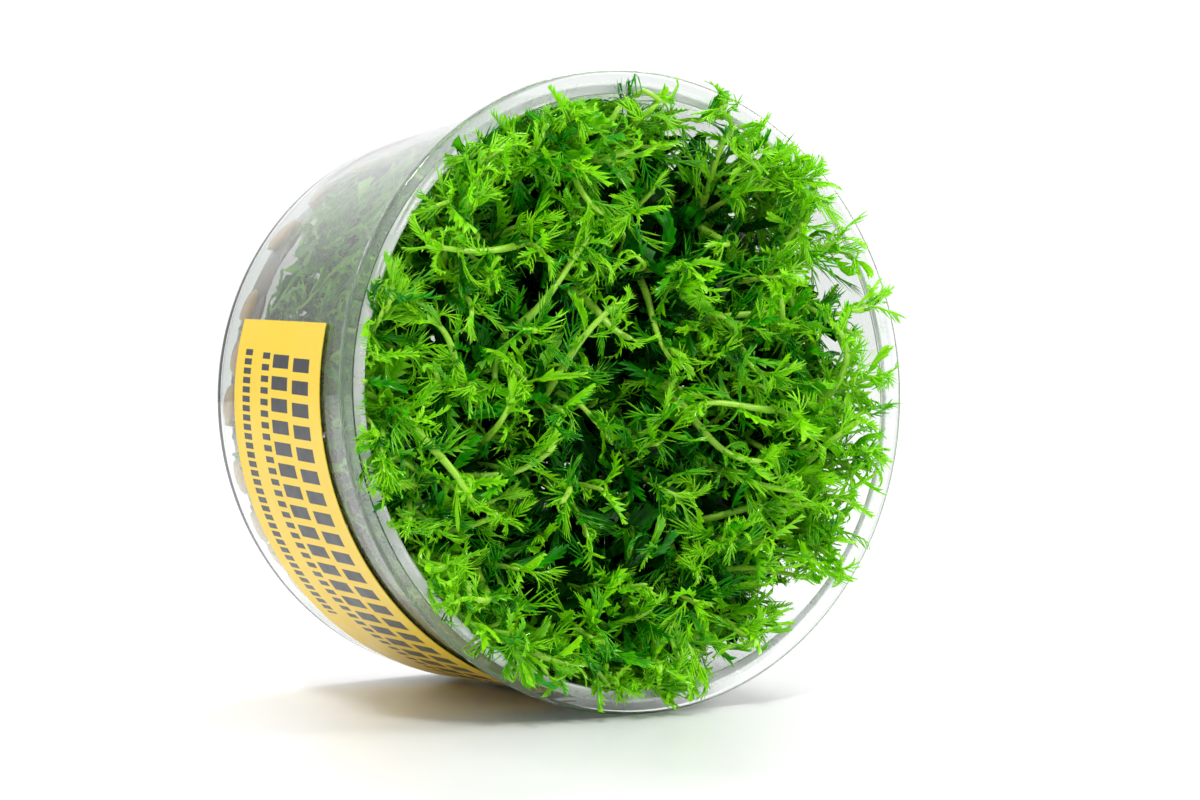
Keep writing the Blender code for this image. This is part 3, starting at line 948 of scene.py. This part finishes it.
def side_targets(index, chance):
    """Where a shoot's side stems go: to the mouth, and from the outer shoots also to the wall."""
    root = root_place(index)
    bearing = math.atan2(root[1], root[0])
    targets = []
    if math.hypot(root[0], root[1]) > OUTER_ROOT:
        for low, high in WALL_ZONES:
            angle = bearing + math.radians(chance.uniform(-15.0, 15.0))
            height = chance.uniform(low, high)
            reach = inner_radius(height) - chance.uniform(0.0008, 0.0024)
            targets.append(polar(reach, angle, height))
        for step in RIM_ANGLES:
            angle = bearing + math.radians(step + chance.uniform(-4.0, 4.0))
            reach = rim_reach(angle) - chance.uniform(0.0, 0.002)
            targets.append(polar(reach, angle, chance.uniform(0.001, 0.004)))
    for _ in range(MOUTH_STEMS):
        targets.append(nearby(MOUTH_SPREAD * root, (0.005, 0.013), (-0.009, 0.0040), chance))
    return targets


def rim_reach(angle):
    """How far the shoots lean out over the rim, where they stop short of it in a few places."""
    reach = RIM_REACH
    for middle, short, narrow in RIM_GAPS:
        reach -= short * max(0.0, math.cos(angle - middle)) ** narrow
    return reach


def side_stem(index, target, leave, lean, settings, chance):
    """The course of a side stem from a main stem to a target, and its radii."""
    start = stem_course(index, (leave, leave + 0.02))
    ahead = unit(start[1] - start[0])
    out = target - start[0]
    out[2] = 0.0
    out = unit(out)
    across = np.array((-out[1], out[0], 0.0))
    finish = chance.uniform(*lean) * out + chance.uniform(-0.9, 0.9) * across
    finish = unit(finish + np.array((0.0, 0.0, chance.uniform(-0.1, 1.0))))
    points = branch_course(start[0], unit(ahead + 0.8 * out), target, finish, SIDE_STEPS)
    radii = settings.stem * chance.uniform(0.9, 1.15) * np.linspace(1.0, 0.55, SIDE_STEPS)
    return points, radii


def creeping_stem(index, step, top, settings, chance):
    """The course of a side stem that creeps up the wall from an outer crown, and its radii."""
    start = stem_course(index, (chance.uniform(0.03, 0.10),))[0]
    t = np.linspace(0.0, 1.0, CREEPER_STEPS)
    height = start[2] + (top + chance.uniform(-0.006, 0.006) - start[2]) * t
    turned_to = math.radians(step + chance.uniform(-4.0, 4.0))
    drift = math.radians(chance.uniform(-14.0, 14.0))
    angle = math.atan2(start[1], start[0]) + turned_to * np.clip(t / CREEPER_TURN, 0.0, 1.0)
    angle = angle + drift * t + math.radians(2.5) * np.sin(9.0 * t + chance.uniform(0.0, 6.0))
    reach = math.hypot(start[0], start[1])
    wall = inner_radius(height) - chance.uniform(0.0008, 0.0018)
    reach = reach + (wall - reach) * np.clip(t / CREEPER_RISE, 0.0, 1.0)
    points = np.stack([reach * np.cos(angle), reach * np.sin(angle), height], -1)
    return points, 0.8 * settings.stem * np.linspace(1.0, 0.6, CREEPER_STEPS)


def grow_shoot(index, settings, looks):
    """One whole shoot: crown, stem, side stems and all their leaves."""
    chance = np.random.default_rng(GROWTH_SEED + index)
    growth = Growth()
    add_crown(growth, index)
    outer = np.linalg.norm(root_place(index)) > OUTER_ROOT
    if outer:
        add_buds(growth, index, chance)
    spacing = settings.node_spacing
    t = np.linspace(0.02, 1.02, MAIN_STEPS)
    radii = settings.stem * np.interp(t, (0.0, 0.1, 0.8, 1.02), (0.9, 1.0, 0.85, 0.5))
    course = stem_course(index, t), radii
    add_leafy_stem(growth, course, 0.95, settings, chance, 0.004, spacing, (0.1, 0.6), 1.0)
    for step, top in CREEPERS if outer else ():
        course = creeping_stem(index, step, top, settings, chance)
        add_leafy_stem(growth, course, 1.0, settings, chance, 0.002, spacing, (0.5, 0.9), 0.95,
                       CREEPER_OPENING)
    for target in side_targets(index, chance):
        height = (target[2] - GEL_SURFACE) / (TIP_RISE - GEL_SURFACE)
        leave = np.clip(height - chance.uniform(0.15, 0.45), 0.06, 0.85)
        course = side_stem(index, target, leave, (-0.5, 1.3), settings, chance)
        apart = spacing * chance.choice((0.8, 1.0, 1.6))
        add_leafy_stem(growth, course, 1.0, settings, chance, 0.35 * apart, apart, (0.25, 0.7),
                       0.85)
    if chance.uniform() < RUNNER_SHARE:
        target = nearby(stem_course(index, (1.0,))[0], (0.010, 0.020), (0.001, 0.006), chance)
        leave = chance.uniform(0.7, 0.9)
        points, radii = side_stem(index, target, leave, (0.6, 1.4), settings, chance)
        course = points, 1.15 * radii
        bare = 0.5 * np.linalg.norm(target - points[0])
        add_leafy_stem(growth, course, 1.0, settings, chance, bare, spacing, (0.3, 0.8), 0.7)
    points = press(np.concatenate(growth.points))
    name = SHOOTS[index].replace("shoot_", "milfoil_shoot_")
    made = mesh_object(name, points, growth.faces, np.concatenate(growth.ages), growth.kinds, looks)
    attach(made, BODY)
    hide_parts(SHOOTS[index])


class CULTURECUP_OT_cup(bpy.types.Operator):
    """Make the clear cup"""

    bl_idname = "culture_cup.cup"
    bl_label = "Clear cup"

    def execute(self, context):
        settings = context.scene.culture_cup
        inner = inner_radius(0.0)
        lip_centre = FLANGE_RADIUS - LIP_ROUND
        profile = [(0.0, -CUP_DEPTH), (0.5 * BASE_RADIUS, -CUP_DEPTH)]
        profile += arc((BASE_RADIUS - BASE_ROUND, BASE_ROUND - CUP_DEPTH), BASE_ROUND, -90, 0, 8)
        profile += [(wall_radius(-z), -z) for z in reversed(WALL_RINGS)]
        under = -FLANGE_THICKNESS - EDGE_ROUND
        profile += arc((WALL_TOP_RADIUS + EDGE_ROUND, under), EDGE_ROUND, 180, 90, 4)
        profile += arc((lip_centre, LIP_ROUND - FLANGE_THICKNESS), LIP_ROUND, -90, 0, 6)
        profile += arc((lip_centre, -LIP_ROUND), LIP_ROUND, 0, 90, 6)
        profile += [(FROSTED_RADIUS, 0.0)]
        profile += arc((inner + EDGE_ROUND, -EDGE_ROUND), EDGE_ROUND, 90, 180, 4)
        profile += [(inner_radius(-z), -z) for z in WALL_RINGS]
        floor = WALL - CUP_DEPTH
        profile += arc((BASE_RADIUS - 2.0 * WALL, floor + WALL), WALL, 0, -90, 8)
        profile += [(0.5 * BASE_RADIUS, floor), (0.0, floor)]
        looks = [clear_plastic(settings), moulded_rim()]
        made = turned("culture_cup", profile, settings.sides, looks)
        inverse = PLACE.inverted()
        for face in made.data.polygons:
            local = inverse @ face.center
            if local.z > -FROSTED_DEPTH and math.hypot(local.x, local.y) < FROSTED_RADIUS:
                face.material_index = 1
        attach(made, BODY)
        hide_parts("cup")
        return {"FINISHED"}


class CULTURECUP_OT_label(bpy.types.Operator):
    """Make the paper label that is stuck round the cup"""

    bl_idname = "culture_cup.label"
    bl_label = "Paper label"

    def execute(self, context):
        settings = context.scene.cup_label
        along, across = LABEL_GRID
        points, faces, wrap = [], [], []
        for layer in (1.0, 0.0):
            for i in range(along + 1):
                for j in range(across + 1):
                    u, v = i / along, j / across
                    angle = LABEL_START + (LABEL_END - LABEL_START) * u
                    angle += (2.0 * v - 1.0) * LABEL_SKEW
                    height = LABEL_BACK + (LABEL_FRONT - LABEL_BACK) * v
                    height += (1.0 - 2.0 * u) * LABEL_SLANT
                    reach = wall_radius(height) + GAP + layer * LABEL_THICKNESS
                    points.append((reach * math.cos(angle), reach * math.sin(angle), height))
                    wrap.append((u, v))
        row, sheet = across + 1, (along + 1) * (across + 1)
        for i in range(along):
            for j in range(across):
                k = i * row + j
                faces.append((k, k + row, k + row + 1, k + 1))
                faces.append((sheet + k, sheet + k + 1, sheet + k + row + 1, sheet + k + row))
        rim = [i * row for i in range(along + 1)]
        rim += [along * row + j for j in range(1, row)]
        rim += [i * row + across for i in range(along - 1, -1, -1)]
        rim += [j for j in range(across - 1, 0, -1)]
        for first, second in zip(rim, rim[1:] + rim[:1]):
            faces.append((second, first, first + sheet, second + sheet))
        made = mesh_object("wrap_label", np.array(points), faces, looks=[label_paper(settings)])
        layer = made.data.uv_layers.new(name="wrap")
        for loop in made.data.loops:
            layer.data[loop.index].uv = wrap[loop.vertex_index]
        made.data.set_sharp_from_angle(angle=SHARP_ANGLE)
        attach(made, BODY)
        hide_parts("label")
        return {"FINISHED"}


class CULTURECUP_OT_gel(bpy.types.Operator):
    """Make the disc of growing gel"""

    bl_idname = "culture_cup.gel"
    bl_label = "Growing gel"

    def execute(self, context):
        settings = context.scene.cup_gel
        bottom = WALL + GAP - CUP_DEPTH
        rim = inner_radius(GEL_SURFACE) - GEL_SHRINK
        profile = [(0.0, bottom), (GEL_FLAT, bottom)]
        profile += arc((BASE_RADIUS - 2.0 * WALL - GEL_SHRINK, bottom + WALL), WALL, -90, 0, 5)
        side = GEL_SURFACE - GEL_SIDE
        profile += [(inner_radius(side) - GEL_SHRINK, side)]
        profile += [(rim - inward, GEL_SURFACE - down) for inward, down in GEL_EDGE]
        level = GEL_SURFACE - GEL_HOLLOW
        for k in range(1, GEL_RINGS):
            profile.append(((rim - 2.0 * GEL_HOLLOW) * (1.0 - k / GEL_RINGS), level))
        profile.append((0.0, level))
        made = turned("growing_gel_disc", profile, GEL_SIDES, [growing_gel(settings)])
        chance = np.random.default_rng(GEL_SEED)
        waves = chance.uniform(-1.0, 1.0, (GEL_WAVES, 2)) * GEL_WAVE_RATE
        phase = chance.uniform(0.0, 6.28, GEL_WAVES)
        inverse = PLACE.inverted()
        normal = PLACE.to_3x3() @ Vector((0.0, 0.0, 1.0))
        for vertex in made.data.vertices:
            local = inverse @ vertex.co
            reach = math.hypot(local.x, local.y)
            if local.z > GEL_SURFACE - GEL_WAVY_DEPTH and reach < rim - GEL_WAVY_MARGIN:
                wave = np.sin(waves @ np.array((local.x, local.y)) + phase).mean()
                vertex.co += normal * settings.ripple * wave
        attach(made, BODY)
        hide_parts("gel")
        return {"FINISHED"}


class CULTURECUP_OT_shoots(bpy.types.Operator):
    """Grow all the milfoil shoots"""

    bl_idname = "culture_cup.shoots"
    bl_label = "Milfoil shoots"

    def execute(self, context):
        settings = context.scene.cup_plant
        looks = [leaf_tissue(settings), stem_tissue(settings)]
        for index in range(len(SHOOTS)):
            grow_shoot(index, settings, looks)
        return {"FINISHED"}


def put_and_aim(name, data, place, aim):
    """An object at a place that points at another."""
    made = bpy.data.objects.new(name, data)
    bpy.context.collection.objects.link(made)
    made.location = place
    made.rotation_mode = "QUATERNION"
    made.rotation_quaternion = (Vector(aim) - Vector(place)).to_track_quat("-Z", "Y")
    return made


def soft_light(name, place, size, power):
    """A square soft light that points at the cup."""
    data = bpy.data.lights.new(name, "AREA")
    data.size = size
    data.energy = power
    put_and_aim(name, data, place, LIGHT_AIM)


class CULTURECUP_OT_stage(bpy.types.Operator):
    """Make the white floor, the soft light and the camera"""

    bl_idname = "culture_cup.stage"
    bl_label = "White studio"

    def execute(self, context):
        settings = context.scene.cup_stage
        self.make_floor(settings)
        self.make_surround(settings)
        for name, place, size, share in SOFT_LIGHTS:
            soft_light(name, place, size, share * settings.key)
        self.make_camera()
        context.scene.view_settings.view_transform = "Standard"
        return {"FINISHED"}

    def make_floor(self, settings):
        """A wide white floor."""
        look, tree, shader, _ = new_material("white_floor")
        feed(tree, shader, Base_Color=(*settings.floor, 1.0),
             Roughness=mottle(tree, 30.0, 0.28, 0.40))
        mesh = bpy.data.meshes.new("floor")
        signs = ((-1, -1), (1, -1), (1, 1), (-1, 1))
        corners = [(x * FLOOR_HALF, y * FLOOR_HALF, 0.0) for x, y in signs]
        mesh.from_pydata(corners, [], [(0, 1, 2, 3)])
        mesh.materials.append(look)
        floor = bpy.data.objects.new("floor", mesh)
        bpy.context.collection.objects.link(floor)

    def make_surround(self, settings):
        """A white surround, brightest high up behind the cup, dimmest low down in front."""
        world = bpy.data.worlds.new("white_surround")
        bpy.context.scene.world = world
        world.use_nodes = True
        tree = world.node_tree
        around = tree.nodes.new("ShaderNodeTexCoord").outputs["Generated"]

        def facing(x, y):
            node = tree.nodes.new("ShaderNodeVectorMath")
            node.operation = "DOT_PRODUCT"
            join(tree, around, node.inputs[0])
            join(tree, (x, y, 0.0), node.inputs[1])
            return node.outputs["Value"]

        def ramp(value, start, end, low, high):
            node = use_node(tree, "ShaderNodeMapRange", Value=value, From_Min=start, From_Max=end,
                            To_Min=low, To_Max=high)
            return node.outputs["Result"]

        height = use_node(tree, "ShaderNodeSeparateXYZ", Vector=around).outputs["Z"]
        front = facing(math.sin(CAMERA_AZIMUTH), -math.cos(CAMERA_AZIMUTH))
        left = facing(-math.cos(CAMERA_AZIMUTH), -math.sin(CAMERA_AZIMUTH))
        low = ramp(front, -0.94, -0.75, settings.surround, settings.front)
        low = calculate(tree, "ADD", low, ramp(left, 0.25, 0.85, 0.0, settings.left))
        high = ramp(front, -0.7, 0.5, settings.overhead, 0.34 * settings.overhead)
        blend = ramp(height, 0.25, 0.65, 0.0, 1.0)
        level = use_node(tree, "ShaderNodeMix", Factor=blend, A=low, B=high)
        feed(tree, tree.nodes["Background"], Color=(1.0, 1.0, 1.0, 1.0),
             Strength=level.outputs["Result"])

    def make_camera(self):
        """The camera at the photograph's view."""
        data = bpy.data.cameras.new("photo_camera")
        data.lens = CAMERA_LENS
        data.sensor_width = 36.0
        data.clip_start, data.clip_end = 0.05, 20.0
        back = Vector((
            math.sin(CAMERA_AZIMUTH) * math.cos(CAMERA_ELEVATION),
            -math.cos(CAMERA_AZIMUTH) * math.cos(CAMERA_ELEVATION),
            math.sin(CAMERA_ELEVATION),
        ))
        aim = Vector((AIM_ACROSS, PLACE.translation.y, AIM_HEIGHT))
        camera = put_and_aim("photo_camera", data, aim + CAMERA_DISTANCE * back, aim)
        bpy.context.scene.camera = camera


class CULTURECUP_PT_panel(bpy.types.Panel):
    """The steps that dress the culture cup"""

    bl_label = "Culture Cup"
    bl_idname = "CULTURECUP_PT_panel"
    bl_space_type = "VIEW_3D"
    bl_region_type = "UI"
    bl_category = "Culture Cup"

    def draw(self, context):
        for step in STEPS:
            self.layout.operator(step.bl_idname)
        for name in SETTINGS:
            group = getattr(context.scene, name)
            for prop in group.bl_rna.properties:
                if prop.identifier not in {"rna_type", "name"}:
                    self.layout.prop(group, prop.identifier)


STEPS = (
    CULTURECUP_OT_cup, CULTURECUP_OT_label, CULTURECUP_OT_gel,
    CULTURECUP_OT_shoots, CULTURECUP_OT_stage,
)
SETTINGS = {
    "culture_cup": CupSettings,
    "cup_label": LabelSettings,
    "cup_gel": GelSettings,
    "cup_plant": PlantSettings,
    "cup_stage": StageSettings,
}


def register():
    """Register the settings, the steps and the panel."""
    for name, group in SETTINGS.items():
        bpy.utils.register_class(group)
        setattr(bpy.types.Scene, name, bpy.props.PointerProperty(type=group))
    for step in (*STEPS, CULTURECUP_PT_panel):
        bpy.utils.register_class(step)


def unregister():
    """Remove the panel, the steps and the settings."""
    for step in reversed((*STEPS, CULTURECUP_PT_panel)):
        bpy.utils.unregister_class(step)
    for name, group in SETTINGS.items():
        delattr(bpy.types.Scene, name)
        bpy.utils.unregister_class(group)


def main():
    """Run every step in order."""
    register()
    for step in STEPS:
        group, name = step.bl_idname.split(".")
        getattr(getattr(bpy.ops, group), name)()


if __name__ == "__main__":
    main()
